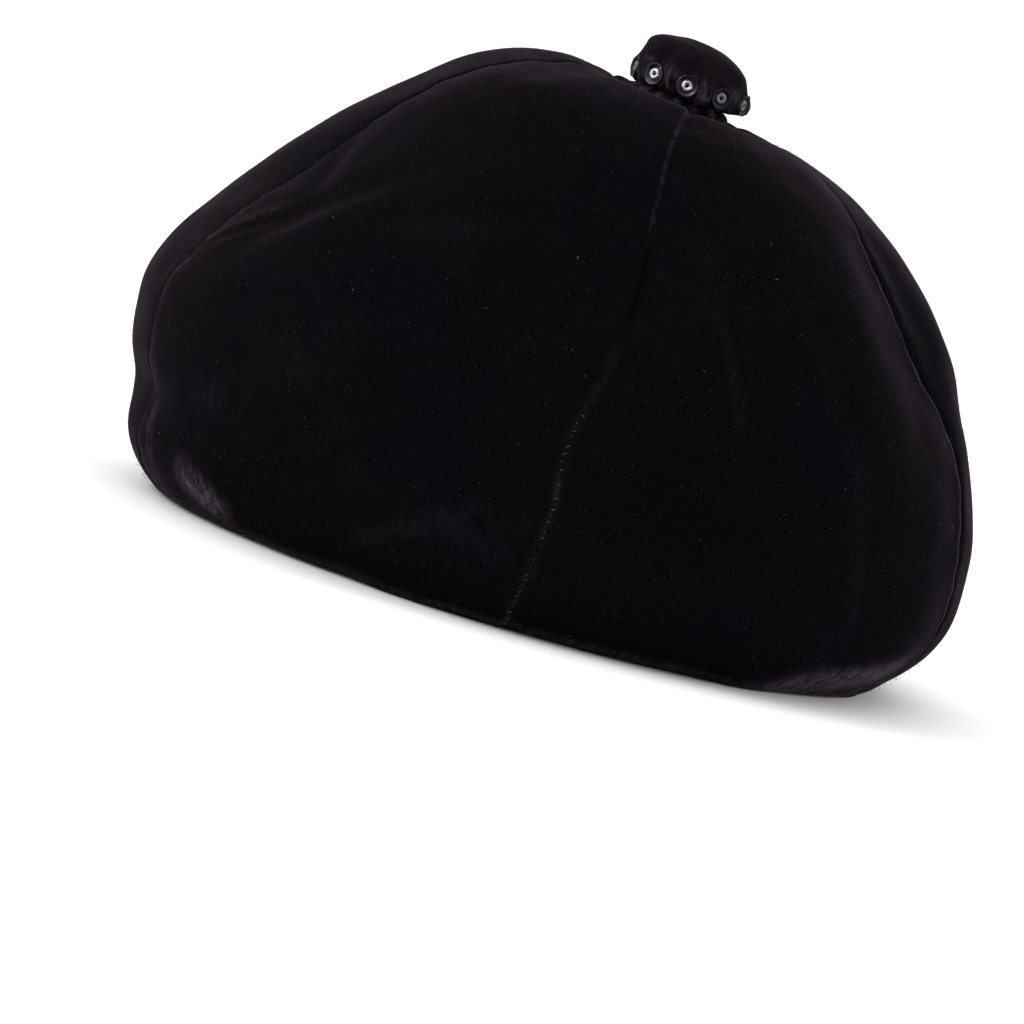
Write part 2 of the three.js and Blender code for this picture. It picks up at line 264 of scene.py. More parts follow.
def seam_depth(from_seam, side):
    """How deep the cloth is drawn in near a seam, at a gore's start side (-1) or end side (1).

    Both allowances are folded under the end side, so that side stands higher and turns
    down sharply at the seam, and the start side runs into it as a valley.
    """
    valley = VALLEY_DEPTH * np.exp(-((from_seam / VALLEY_WIDTH) ** 2))
    valley = valley + CREASE_DEPTH * np.exp(-from_seam / CREASE_WIDTH)
    edge = EDGE_DEPTH * np.exp(-((from_seam / EDGE_TURN) ** 2))
    edge = edge - LAYER_HEIGHT * np.exp(-((from_seam / LAYER_WIDTH) ** 2))
    share = 0.5 + 0.5 * np.tanh(8 * side)
    return valley * (1 - share) + edge * share


def cloth(gore, across, place):
    """Outer points, outward directions, bearings and reaches of one gore's cloth."""
    first_edge = seam_bearing(gore, place)
    half_angle = (seam_bearing(gore + 1, place) - first_edge) / 2
    half_arc = crown_at(place, "radius") * half_angle
    trimmed = across * (1 - SEAM_GAP / 2 / half_arc)
    bearing = first_edge + (1 + trimmed) * half_angle
    reach = crown_at(place, "reach")
    points = ring_points(bearing, place, crown_at(place, "puff") * puff_share(trimmed))
    normal = outward(bearing, place)
    from_seam = (1 - np.abs(trimmed)) * half_arc
    seam = nearest_seam(gore, across)
    depth = seam_depth(from_seam, trimmed) * np.array(SEAM_SHARPNESS)[seam]
    for fold in FOLDS:
        along, over = along_and_across(bearing, reach, crown_at(place, "radius"), fold)
        depth = depth + fold[5] * np.exp(-(along**2) - over**2)
    rhythm = np.sin(reach * 2 * math.pi / PUCKER_LENGTH + 2.4 * np.sin(reach / 17 + seam))
    depth = depth + PUCKER_HEIGHT * rhythm * np.exp(-from_seam / PUCKER_WIDTH)
    gathers = np.cos(GATHERS * bearing + 1.3 * np.sin(3 * bearing))
    depth = depth + GATHER_HEIGHT * gathers * np.exp(-reach / GATHER_REACH)
    depth = depth + soft_waves(points, 60.0, 0.5, seed=3) + soft_waves(points, 22.0, 0.14, seed=8)
    points = points - normal * depth[..., None]
    points[..., 2] = np.maximum(points[..., 2], 0.0)
    return points, normal, bearing, reach


def brushed_and_sheen(gore, across, bearing, reach, radius):
    """How much paler the pile is at each point, 0 to 1, from brushing and painted sheen."""
    total = np.zeros_like(bearing)
    for mark in BRUSH_AND_SHEEN_MARKS:
        along, over = along_and_across(bearing, reach, radius, mark)
        total = total + mark[5] * np.exp(-(along**4) - np.abs(over) ** 3)
    from_seam = (1 - np.abs(across)) * radius * GORE_ANGLE / 2
    band = np.interp(reach, SEAM_GLINT_REACH, BAND) * np.exp(-((from_seam / BAND_WIDTH) ** 2))
    seam = nearest_seam(gore, across)
    for number, glint_row in enumerate(SEAM_GLINT):
        # A painted highlight along the seam's line or crest, with the paler band round the stitches.
        line = np.interp(reach, SEAM_GLINT_REACH, glint_row) * (0.8 + 0.2 * np.sin(reach / 3.1))
        from_crest = from_seam * np.where(across < 0, -1, 1) - SEAM_GLINT_CREST[number]
        lightened = line * np.exp(-((from_crest / SEAM_GLINT_WIDTH[number]) ** 2)) + band
        total = total + (seam == number) * lightened
    return np.clip(total, 0, 1)


# Meshes

def mesh_object(name, points, faces, materials, face_slots=None, smooth=True):
    """A new object at the origin from points in millimetres."""
    mesh = bpy.data.meshes.new(name)
    mesh.from_pydata((np.asarray(points) * MM).tolist(), [], faces)
    for material in materials:
        mesh.materials.append(material)
    if face_slots is not None:
        mesh.polygons.foreach_set("material_index", face_slots)
    if smooth:
        mesh.shade_smooth()
    mesh.update()
    piece = bpy.data.objects.new(name, mesh)
    bpy.context.scene.collection.objects.link(piece)
    return piece


def grid_faces(columns, rows, start=0, wrap=False, flip=False):
    """Quads of a grid of points stored column by column."""
    faces = []
    for i in range(columns if wrap else columns - 1):
        left, right = start + i * rows, start + (i + 1) % columns * rows
        for j in range(rows - 1):
            quad = (left + j, left + j + 1, right + j + 1, right + j)
            faces.append(quad[::-1] if flip else quad)
    return faces


def point_value(piece, name, values):
    """Keeps a number for each point of a mesh, for its material to read."""
    attribute = piece.data.attributes.new(name, "FLOAT", "POINT")
    attribute.data.foreach_set("value", np.ascontiguousarray(values, dtype=np.float32).ravel())


# Shader graphs

def add(tree, kind, inputs=None, **settings):
    """A node with its settings, and its inputs set or linked by name or number."""
    node = tree.nodes.new(kind)
    for name, value in settings.items():
        setattr(node, name, value)
    for name, value in (inputs or {}).items():
        if isinstance(value, bpy.types.NodeSocket):
            tree.links.new(value, node.inputs[name])
        else:
            node.inputs[name].default_value = value
    return node


def math_node(tree, operation, *values):
    """The result of one step of arithmetic."""
    node = add(tree, "ShaderNodeMath", dict(enumerate(values)), operation=operation)
    return node.outputs[0]


def noise(tree, vector, scale, detail, **more):
    """A noise value at a place."""
    inputs = {"Vector": vector, "Scale": scale, "Detail": detail, **more}
    return add(tree, "ShaderNodeTexNoise", inputs).outputs["Fac"]


def ranged(tree, value, low, high, from_low=0.0, from_high=1.0, **settings):
    """A value between two ends, carried over to lie between two others."""
    inputs = {"Value": value, "From Min": from_low, "From Max": from_high, "To Min": low, "To Max": high}
    return add(tree, "ShaderNodeMapRange", inputs, **settings).outputs["Result"]


def two_tone(tree, value, dark, light, from_low=0.0, from_high=1.0):
    """A colour that runs from one tone to another as a value rises."""
    ramp = add(tree, "ShaderNodeValToRGB", {"Fac": value})
    first, second = ramp.color_ramp.elements
    first.position, second.position = from_low, from_high
    first.color, second.color = (*dark, 1), (*light, 1)
    return ramp.outputs["Color"]


def new_group(name, kind, inputs, outputs):
    """An empty node group with named sockets, and its two end nodes."""
    tree = bpy.data.node_groups.new(name, kind)
    for label, socket_type, default in inputs:
        socket = tree.interface.new_socket(label, in_out="INPUT", socket_type=socket_type)
        if default is not None:
            socket.default_value = default
    for label, socket_type in outputs:
        tree.interface.new_socket(label, in_out="OUTPUT", socket_type=socket_type)
    return tree, tree.nodes.new("NodeGroupInput"), tree.nodes.new("NodeGroupOutput")


def velvet_nap_group():
    """Colour and relief of cut pile: tufts, lay of the nap, mottle, brushing and painted sheen."""
    tree, start, end = new_group(
        "Velvet nap",
        "ShaderNodeTree",
        [
            ("Vector", "NodeSocketVector", None),
            ("Pile Colour", "NodeSocketColor", (0.004, 0.0036, 0.0043, 1)),
            ("Brushed Colour", "NodeSocketColor", (0.012, 0.010, 0.013, 1)),
            ("Tufts Per Metre", "NodeSocketFloat", 2200.0),
            ("Patches Per Metre", "NodeSocketFloat", 26.0),
            ("Brushed And Sheen", "NodeSocketFloat", 0.0),
        ],
        [("Color", "NodeSocketColor"), ("Roughness", "NodeSocketFloat"), ("Height", "NodeSocketFloat")],
    )
    vector = start.outputs["Vector"]
    tufts = noise(tree, vector, start.outputs["Tufts Per Metre"], 2.0, Roughness=0.6)
    patches = noise(tree, vector, start.outputs["Patches Per Metre"], 4.0, Roughness=0.62, Distortion=0.6)
    laid = add(tree, "ShaderNodeMapping", {"Vector": vector, "Scale": (1.0, 1.0, 0.25)}).outputs["Vector"]
    strands = noise(tree, laid, 420.0, 3.0, Roughness=0.7)
    patch_share = ranged(tree, patches, 0.0, 0.03, 0.5, 0.78)
    paler_pile = math_node(tree, "MAXIMUM", start.outputs["Brushed And Sheen"], patch_share)
    broken = ranged(tree, strands, 0.15, 1.1, 0.35, 0.65)
    share = math_node(tree, "MULTIPLY", paler_pile, broken)
    drift = noise(tree, vector, 17.0, 3.0)
    hue = two_tone(tree, drift, (1.10, 0.95, 0.88), (0.90, 0.96, 1.16), 0.38, 0.60)
    dyed = add(tree, "ShaderNodeVectorMath", {
        0: start.outputs["Pile Colour"],
        1: hue,
    }, operation="MULTIPLY").outputs[0]
    # A Mix node's colour sockets share their names with its others, so they go by number.
    tone = add(tree, "ShaderNodeMix", {
        0: share,
        6: dyed,
        7: start.outputs["Brushed Colour"],
    }, data_type="RGBA")
    grain = ranged(tree, tufts, 0.45, 1.6, 0.3, 0.7)
    shaded = add(tree, "ShaderNodeVectorMath", {0: tone.outputs[2], 1: grain}, operation="MULTIPLY")
    roughness = ranged(tree, share, 0.97, 0.78)
    height = math_node(tree, "MULTIPLY_ADD", strands, 0.5, tufts)
    tree.links.new(shaded.outputs[0], end.inputs["Color"])
    tree.links.new(roughness, end.inputs["Roughness"])
    tree.links.new(height, end.inputs["Height"])
    return tree


def new_material(name):
    """A material with its Principled shader, and the shader's node."""
    material = bpy.data.materials.new(name)
    material.use_nodes = True
    return material, material.node_tree, material.node_tree.nodes["Principled BSDF"]


def velvet_material(name, nap, pile, paler_pile, sheen):
    """Dense dark pile that catches light only where it is seen edge on."""
    material, tree, shader = new_material(name)
    place = add(tree, "ShaderNodeTexCoord").outputs["Object"]
    # This point value makes the pile paler, both where it is brushed and where sheen and highlights are
    # painted on.
    mark = add(tree, "ShaderNodeAttribute", attribute_name="brushed_and_sheen").outputs["Fac"]
    pile_nap = add(tree, "ShaderNodeGroup", node_tree=nap)
    pile_nap.inputs["Pile Colour"].default_value = (*pile, 1)
    pile_nap.inputs["Brushed Colour"].default_value = (*paler_pile, 1)
    tree.links.new(place, pile_nap.inputs["Vector"])
    tree.links.new(mark, pile_nap.inputs["Brushed And Sheen"])
    bump = add(tree, "ShaderNodeBump", {
        "Strength": 0.55,
        "Distance": 0.0004,
        "Height": pile_nap.outputs["Height"],
    })
    tree.links.new(pile_nap.outputs["Color"], shader.inputs["Base Color"])
    tree.links.new(pile_nap.outputs["Roughness"], shader.inputs["Roughness"])
    tree.links.new(bump.outputs["Normal"], shader.inputs["Normal"])
    shader.inputs["Specular IOR Level"].default_value = 0.01
    shader.inputs["Sheen Weight"].default_value = sheen
    shader.inputs["Sheen Roughness"].default_value = 0.13
    shader.inputs["Sheen Tint"].default_value = (0.97, 0.60, 0.93, 1)
    return material


def woven_material(name, dark, light, threads):
    """The matt woven back of the velvet: a plain weave of two thread tones."""
    material, tree, shader = new_material(name)
    place = add(tree, "ShaderNodeTexCoord").outputs["Object"]
    fine = noise(tree, place, threads, 2.0)
    ribs = add(tree, "ShaderNodeTexWave", {
        "Vector": place,
        "Scale": threads / 3,
        "Distortion": 1.2,
    }, bands_direction="Z").outputs["Fac"]
    weave = math_node(tree, "MULTIPLY", fine, ribs)
    bump = add(tree, "ShaderNodeBump", {"Strength": 0.5, "Distance": 0.0002, "Height": weave})
    tree.links.new(two_tone(tree, weave, dark, light), shader.inputs["Base Color"])
    tree.links.new(bump.outputs["Normal"], shader.inputs["Normal"])
    shader.inputs["Roughness"].default_value = 0.92
    shader.inputs["Specular IOR Level"].default_value = 0.15
    return material


def thread_material(name, dark, light, gloss):
    """Twisted thread or fibre, its tone broken along its length."""
    material, tree, shader = new_material(name)
    place = add(tree, "ShaderNodeTexCoord").outputs["Object"]
    tone = two_tone(tree, noise(tree, place, 900.0, 2.0), dark, light, 0.35, 0.65)
    tree.links.new(tone, shader.inputs["Base Color"])
    shader.inputs["Roughness"].default_value = gloss
    return material


PAINTED_SHADE_DEPTH, DULL_ROUGHNESS = 0.93, 0.55


def set_shade_and_dullness(tree, shader, colour, roughness):
    """Gives a shader a colour and a roughness: painted shade and more roughness where marked."""
    shade_and_dull = add(tree, "ShaderNodeAttribute", attribute_name="shade_and_dull").outputs["Fac"]
    unshaded_share = math_node(tree, "MULTIPLY_ADD", shade_and_dull, -PAINTED_SHADE_DEPTH, 1.0)
    darker = add(tree, "ShaderNodeVectorMath", {0: colour, 3: unshaded_share}, operation="SCALE").outputs[0]
    rougher = math_node(tree, "MULTIPLY_ADD", shade_and_dull, DULL_ROUGHNESS, roughness)
    tree.links.new(darker, shader.inputs["Base Color"])
    tree.links.new(rougher, shader.inputs["Roughness"])


def sequin_material(name):
    """Dark pressed foil with a film that drifts between violet and green."""
    material, tree, shader = new_material(name)
    place = add(tree, "ShaderNodeTexCoord").outputs["Object"]
    drift = noise(tree, place, 190.0, 1.0)
    film = two_tone(tree, drift, (0.026, 0.017, 0.032), (0.032, 0.031, 0.033), 0.35, 0.65)
    scratches = ranged(tree, noise(tree, place, 1400.0, 2.0), 0.10, 0.34)
    set_shade_and_dullness(tree, shader, film, scratches)
    shader.inputs["Metallic"].default_value = 0.6
    return material


def bead_material(name):
    """Clear glass lined with silver, a little uneven."""
    material, tree, shader = new_material(name)
    place = add(tree, "ShaderNodeTexCoord").outputs["Object"]
    uneven = noise(tree, place, 700.0, 1.0)
    lining = two_tone(tree, uneven, (0.30, 0.28, 0.33), (0.62, 0.60, 0.66))
    set_shade_and_dullness(tree, shader, lining, ranged(tree, uneven, 0.03, 0.12))
    shader.inputs["Metallic"].default_value = 0.8
    shader.inputs["IOR"].default_value = 1.52
    return material


nap = velvet_nap_group()
velvet = velvet_material("black velvet", nap, (0.0022, 0.0021, 0.0025), (0.050, 0.040, 0.052), 0.125)
# The button is covered in the same velvet, its pile colour painted lighter and its sheen raised for the
# light its dome catches.
lighter_button_velvet = velvet_material("button velvet painted lighter", nap, (0.0050, 0.0040, 0.0053), (0.072, 0.058, 0.074), 0.16)
backing = woven_material("velvet back", (0.004, 0.004, 0.0045), (0.014, 0.013, 0.015), 900.0)
seam_thread = thread_material("seam thread", (0.010, 0.008, 0.011), (0.055, 0.046, 0.056), 0.5)
white_lint = thread_material("white lint", (0.010, 0.010, 0.012), (0.058, 0.058, 0.064), 0.7)
warm_lint = thread_material("warm lint", (0.018, 0.010, 0.004), (0.085, 0.048, 0.019), 0.7)
pile_end = thread_material("pile ends", (0.005, 0.004, 0.006), (0.020, 0.016, 0.022), 0.8)
pale_fibre = thread_material("pale fibre", (0.05, 0.05, 0.05), (0.34, 0.33, 0.32), 0.7)
foil = sequin_material("sequin foil")
glass = bead_material("bead glass")


# Crown gores

GORE_COLUMNS = 101
GORE_ROWS = 151
SEAM_CROWDING = 1.8


def gore_stops():
    """Places across a gore, closer together near its seams."""
    even = np.linspace(-1, 1, GORE_COLUMNS)
    return np.sign(even) * (1 - (1 - np.abs(even)) ** SEAM_CROWDING)


def shell_faces(columns, rows):
    """Faces of a closed wall between an outer grid and an inner one, and their slots."""
    inner = columns * rows
    outside = grid_faces(columns, rows)
    inside = grid_faces(columns, rows, start=inner, flip=True)
    rim = []
    for i in range(columns - 1):
        top, next_top = i * rows, (i + 1) * rows
        end, next_end = top + rows - 1, next_top + rows - 1
        rim.append((top, next_top, inner + next_top, inner + top))
        rim.append((end, inner + end, inner + next_end, next_end))
    last = (columns - 1) * rows
    for j in range(rows - 1):
        rim.append((j, inner + j, inner + j + 1, j + 1))
        rim.append((last + j, last + j + 1, inner + last + j + 1, inner + last + j))
    slots = [0] * len(outside) + [1] * len(inside) + [0] * len(rim)
    return outside + inside + rim, slots


def make_gore(gore):
    """One gore: a closed wall of cloth, velvet outside and woven backing inside."""
    across, place = np.meshgrid(gore_stops(), np.linspace(0, LAST_PLACE, GORE_ROWS), indexing="ij")
    outer, normal, bearing, reach = cloth(gore, across, place)
    inner = outer - normal * CLOTH
    points = np.concatenate([outer.reshape(-1, 3), inner.reshape(-1, 3)])
    faces, slots = shell_faces(GORE_COLUMNS, GORE_ROWS)
    name = f"crown_gore_{gore + 1}"
    piece = mesh_object(f"velvet_gore_{gore + 1}", points, faces, [velvet, backing], slots)
    marks = brushed_and_sheen(gore, across, bearing, reach, crown_at(place, "radius")).ravel()
    point_value(piece, "brushed_and_sheen", np.concatenate([marks, marks]))
    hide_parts(name)
    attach(piece, "root")


for gore in range(GORES):
    make_gore(gore)


# Button

# Rings of the cap and the stem, from the top down, the cap's last two rising into its
# hollow underside: radius, height, shift towards the lean, rise of the leaning side,
# and depth of the folds drawn into the ring.
CAP_RINGS = (
    (0.0, 12.3, 0.0, 0.0, 0.0),
    (5.0, 12.0, 0.0, 0.0, 0.0),
    (8.8, 11.0, 0.0, 0.0, 0.0),
    (12.9, 9.5, -0.6, 0.0, 0.0),
    (15.8, 7.5, -0.7, 0.2, 0.0),
    (17.0, 5.0, -0.3, 0.6, 0.2),
    (17.8, 2.6, 0.0, 1.0, 1.0),
    (19.2, 0.4, 0.3, 1.3, 2.5),
    (19.3, -1.8, 0.7, 1.3, 2.9),
    (18.5, -3.8, 0.9, 1.3, 1.9),
    (16.4, -5.1, -0.3, 1.2, 0.6),
    (14.9, -5.6, -0.6, 1.2, 0.0),
    (13.6, -5.0, -0.8, 1.1, 0.0),
    (12.6, -4.7, -0.8, 1.1, 0.0),
)
STEM_RINGS = (
    (11.0, -5.1, -0.8, 1.1, 0.0),
    (13.0, -5.4, -0.9, 1.1, 0.1),
    (15.3, -6.2, -1.4, 1.1, 0.6),
    (16.9, -7.2, -1.7, 1.0, 1.1),
    (17.0, -8.5, -1.8, 0.8, 1.5),
    (16.3, -9.9, -1.3, 0.5, 1.3),
    (14.4, -11.3, -0.3, 0.2, 0.8),
    (13.4, -12.6, 0.0, 0.0, 0.5),
    (12.9, -15.6, 0.0, 0.0, 0.3),
)
STEM_PLEATS = 16
SEQUINS = 10
FIRST_SEQUIN = math.radians(10.8)
SEQUIN_RADIUS, SEQUIN_SIDES = 3.4, 16
SEQUIN_BACK, SEQUIN_CLEAR = 17.2, 0.12
BEAD_RADIUS, BEAD_HOLE, BEAD_LENGTH = 1.85, 0.45, 1.2
BEAD_SIDES, BEAD_CORNERS = 28, 14
SEWN_GAP = 0.3
BUTTON_SIDES, CAP_STEPS, STEM_STEPS = 320, 8, 6
PUCKERS_TOP, PUCKERS_HEIGHT = 5.0, 8.0

# How much each sequin and its bead are darkened with painted shade and dulled, round the button.
SHADE_AND_DULLNESS = (0.5, 0.8, 0.0, 0.0, 0.75, 0.85, 0.2, 0.1, 0.6, 0.0)


def leaning_place(shift, height, tilt):
    """A move towards the lean and up, and a tilt that way, in millimetres and degrees."""
    lean = Vector((math.cos(LEAN_BEARING), math.sin(LEAN_BEARING), 0)) * shift
    axis = Vector((-math.sin(LEAN_BEARING), math.cos(LEAN_BEARING), 0))
    return Matrix.Translation(lean + Vector((0, 0, height))) @ Matrix.Rotation(math.radians(tilt), 4, axis)


BUTTON_PLACE = leaning_place(9.0, 164.0, 8.0)
SEQUIN_RING_PLACE = BUTTON_PLACE @ leaning_place(0.5, -1.35, -4.3)


def on_button(points):
    """Points of the button's own frame, in the hat's frame."""
    move = np.array(BUTTON_PLACE)
    return points @ move[:3, :3].T + move[:3, 3]


def smooth_rings(rows, steps):
    """A short table of rings with smooth steps between its rows, as columns."""
    rows = np.array(rows)
    last = len(rows) - 1
    place = np.linspace(0, last, last * steps + 1)
    i = np.clip(np.floor(place).astype(int), 0, last - 1)
    here, after = rows[i], rows[i + 1]
    before = np.where((i > 0)[:, None], rows[np.maximum(i - 1, 0)], 2 * here - after)
    beyond = np.where((i < last - 1)[:, None], rows[np.minimum(i + 2, last)], 2 * after - here)
    return smooth_between(before, here, after, beyond, (place - i)[:, None]).T[:, :, None]


def round_angles():
    """The button's sides, as angles."""
    return np.linspace(0, 2 * math.pi, BUTTON_SIDES, endpoint=False)


def ring_grid(radius, height, shift, rise):
    """Points of leaning rings, a row of points to each ring."""
    angle = round_angles()
    x = radius * np.cos(angle) + shift * math.cos(LEAN_BEARING)
    y = radius * np.sin(angle) + shift * math.sin(LEAN_BEARING)
    return np.stack([x, y, height + rise * np.cos(angle - LEAN_BEARING)], axis=-1)


def closed_stack(grid):
    """Points and faces of a stack of rings, closed at both ends."""
    rings, sides = grid.shape[:2]
    points = grid.transpose(1, 0, 2).reshape(-1, 3)
    top, bottom = len(points), len(points) + 1
    points = np.concatenate([points, grid[:1].mean(axis=1), grid[-1:].mean(axis=1)])
    faces = grid_faces(sides, rings, wrap=True)
    for i in range(sides):
        after = (i + 1) % sides
        faces.append((top, i * rings, after * rings))
        faces.append((bottom, after * rings + rings - 1, i * rings + rings - 1))
    return points, faces


def make_cap():
    """The covered button: a smooth dome whose cloth is drawn in behind each sequin."""
    # The two smallest rings are left out, as the end point closes the dome.
    radius, height, shift, rise, pucker = smooth_rings(CAP_RINGS, CAP_STEPS)[:, 2:]
    angle = round_angles()
    behind_sequin = 0.5 + 0.5 * np.cos(SEQUINS * (angle - FIRST_SEQUIN))
    low = np.clip((PUCKERS_TOP - height) / PUCKERS_HEIGHT, 0, 1) ** 1.3
    sway = angle + 0.02 * height * np.sin(5 * angle + 1.0)
    gathers = np.sin(33 * sway + 2.0 * np.sin(4 * angle)) + 0.6 * np.sin(59 * sway + 1.0)
    plain = ring_grid(radius, height, shift, rise)
    crumple = soft_waves(plain, 6.5, 0.42, seed=21) * low + soft_waves(plain, 17.0, 0.25, seed=22)
    depth = pucker * behind_sequin + 0.30 * low * gathers + crumple
    points, faces = closed_stack(ring_grid(radius - depth, height, shift, rise))
    piece = mesh_object("velvet_button_cap", on_button(points), faces, [lighter_button_velvet])
    streaks = np.clip(gathers * 0.5 + 0.5, 0, 1) ** 2
    tangle = np.clip(soft_waves(plain, 4.5, 0.6, seed=27), 0, 1) * np.clip(1.3 - height / 9, 0, 1)
    # Painted light: the lower part of the cap, which faces down into shade, is made paler along its gathers
    # and most between the sequins, with painted sheen on a tangle of wrinkles and a faint pale mottle over
    # all.
    lightened = low * (0.10 + 0.7 * (1 - behind_sequin) ** 2 * streaks + 0.15 * streaks)
    lightened = lightened + 0.5 * low * tangle
    lightened = lightened + 0.05 * np.clip(soft_waves(plain, 9.0, 1.0, seed=29), 0, 1)
    point_value(piece, "brushed_and_sheen", np.append(lightened.T.ravel(), [0, 0]))
    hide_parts("button_cap")
    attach(piece, "root")


def make_stem():
    """The gathered neck under the button."""
    radius, height, shift, rise, pleat = smooth_rings(STEM_RINGS, STEM_STEPS)
    angle = round_angles()
    folds = 0.5 + 0.5 * np.cos(STEM_PLEATS * angle + 0.8 * np.sin(3 * angle))
    fine = np.sin(41 * angle + 1.7 * np.sin(4 * angle) + 0.3 * height)
    depth = pleat * (folds + 0.18 * fine)
    points, faces = closed_stack(ring_grid(radius - depth, height, shift, rise))
    piece = mesh_object("velvet_button_stem", on_button(points), faces, [lighter_button_velvet])
    # Painted sheen: the pile is made paler along the crests of the pleats.
    lightened = 0.05 + 0.55 * (1 - folds) ** 2 + np.zeros_like(height)
    point_value(piece, "brushed_and_sheen", np.append(lightened.T.ravel(), [0, 0]))
    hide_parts("button_stem")
    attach(piece, "root")


make_cap()
make_stem()


# Geometry Nodes pieces

def apply_nodes(piece, tree, values):
    """Runs a Geometry Nodes tree on a piece and leaves the result as its plain mesh."""
    modifier = piece.modifiers.new("make", "NODES")
    modifier.node_group = tree
    sockets = {item.name: item.identifier for item in tree.interface.items_tree if item.in_out == "INPUT"}
    for name, value in values.items():
        modifier[sockets[name]] = value
    bpy.context.view_layer.update()
    evaluated = piece.evaluated_get(bpy.context.evaluated_depsgraph_get())
    mesh = bpy.data.meshes.new_from_object(evaluated)
    piece.modifiers.remove(modifier)
    piece.data = mesh


def set_material_and_end(tree, geometry, material, end):
    """Makes copies real, gives them their material, and ends the tree."""
    solid = add(tree, "GeometryNodeRealizeInstances", {"Geometry": geometry}).outputs[0]
    coated = add(tree, "GeometryNodeSetMaterial", {"Geometry": solid, "Material": material}).outputs[0]
    tree.links.new(coated, end.inputs[0])


def random_number(tree, low, high, seed):
    """A seeded random number for each point."""
    node = add(tree, "FunctionNodeRandomValue", {2: low, 3: high, "Seed": seed}, data_type="FLOAT")
    return node.outputs[1]


def sewn_ring_tree():
    """Copies of one small piece round a ring, each facing out and tipped a little."""
    tree, start, end = new_group(
        "Sewn ring",
        "GeometryNodeTree",
        [
            ("Geometry", "NodeSocketGeometry", None),
            ("Count", "NodeSocketInt", 10),
            ("First Angle", "NodeSocketFloat", 0.0),
            ("Ring Radius", "NodeSocketFloat", 0.02),
            ("Tip", "NodeSocketFloat", 0.1),
            ("Seed", "NodeSocketInt", 1),
            ("Material", "NodeSocketMaterial", None),
        ],
        [("Geometry", "NodeSocketGeometry")],
    )
    given = start.outputs
    number = add(tree, "GeometryNodeInputIndex").outputs[0]
    pitch = math_node(tree, "DIVIDE", 2 * math.pi, given["Count"])
    angle = math_node(tree, "MULTIPLY_ADD", number, pitch, given["First Angle"])
    x = math_node(tree, "MULTIPLY", math_node(tree, "COSINE", angle), given["Ring Radius"])
    y = math_node(tree, "MULTIPLY", math_node(tree, "SINE", angle), given["Ring Radius"])
    spot = add(tree, "ShaderNodeCombineXYZ", {"X": x, "Y": y}).outputs[0]
    ring = add(tree, "GeometryNodePoints", {"Count": given["Count"], "Position": spot}).outputs[0]
    least = math_node(tree, "MULTIPLY", given["Tip"], -1.0)
    other_seed = math_node(tree, "ADD", given["Seed"], 7.0)
    nod = random_number(tree, least, given["Tip"], given["Seed"])
    swing = math_node(tree, "ADD", random_number(tree, least, given["Tip"], other_seed), angle)
    turn = add(tree, "ShaderNodeCombineXYZ", {"Y": nod, "Z": swing}).outputs[0]
    copies = add(tree, "GeometryNodeInstanceOnPoints", {
        "Points": ring,
        "Instance": given["Geometry"],
        "Rotation": turn,
    }).outputs[0]
    set_material_and_end(tree, copies, given["Material"], end)
    return tree


def turned_piece(name, profile, sides, smooth):
    """A closed profile of (radius, out) in millimetres, turned about the X axis."""
    profile = np.array(profile)
    angle = np.linspace(0, 2 * math.pi, sides, endpoint=False)[:, None]
    out = np.broadcast_to(profile[:, 1], (sides, len(profile)))
    points = np.stack([out, np.cos(angle) * profile[:, 0], np.sin(angle) * profile[:, 0]], axis=-1)
    rows = len(profile)
    faces = []
    for i in range(sides):
        left, right = i * rows, (i + 1) % sides * rows
        for j in range(rows):
            after = (j + 1) % rows
            faces.append((left + j, right + j, right + after, left + after))
    return mesh_object(name, points.reshape(-1, 3), faces, [], smooth=smooth)


def sequin_profile():
    """A pressed cup: a flat back with a hole, a sloping wall, and a thin rolled lip."""
    sheet = 0.2
    back = SEQUIN_RADIUS * 0.38
    depth = SEQUIN_RADIUS * 0.33
    lip = SEQUIN_RADIUS - 0.45
    return (
        (BEAD_HOLE, 0.0),
        (back, 0.0),
        (lip, depth),
        (SEQUIN_RADIUS - 0.12, depth + 0.06),
        (SEQUIN_RADIUS, depth + 0.16),
        (SEQUIN_RADIUS - 0.02, depth + 0.3),
        (SEQUIN_RADIUS - 0.16, depth + 0.38),
        (SEQUIN_RADIUS - 0.36, depth + 0.32),
        (lip - 0.08, depth + sheet),
        (back - 0.06, sheet),
        (BEAD_HOLE, sheet),
    )


def bead_profile():
    """A drilled bead's rounded wall, from its hole to its waist."""
    middle = (BEAD_RADIUS + BEAD_HOLE) / 2
    half_wall = (BEAD_RADIUS - BEAD_HOLE) / 2
    angle = np.linspace(0, 2 * math.pi, BEAD_CORNERS, endpoint=False)
    radius = middle + half_wall * np.sign(np.cos(angle)) * np.abs(np.cos(angle)) ** 0.85
    out = BEAD_LENGTH / 2 * np.sin(angle)
    return np.stack([radius, out], axis=-1)


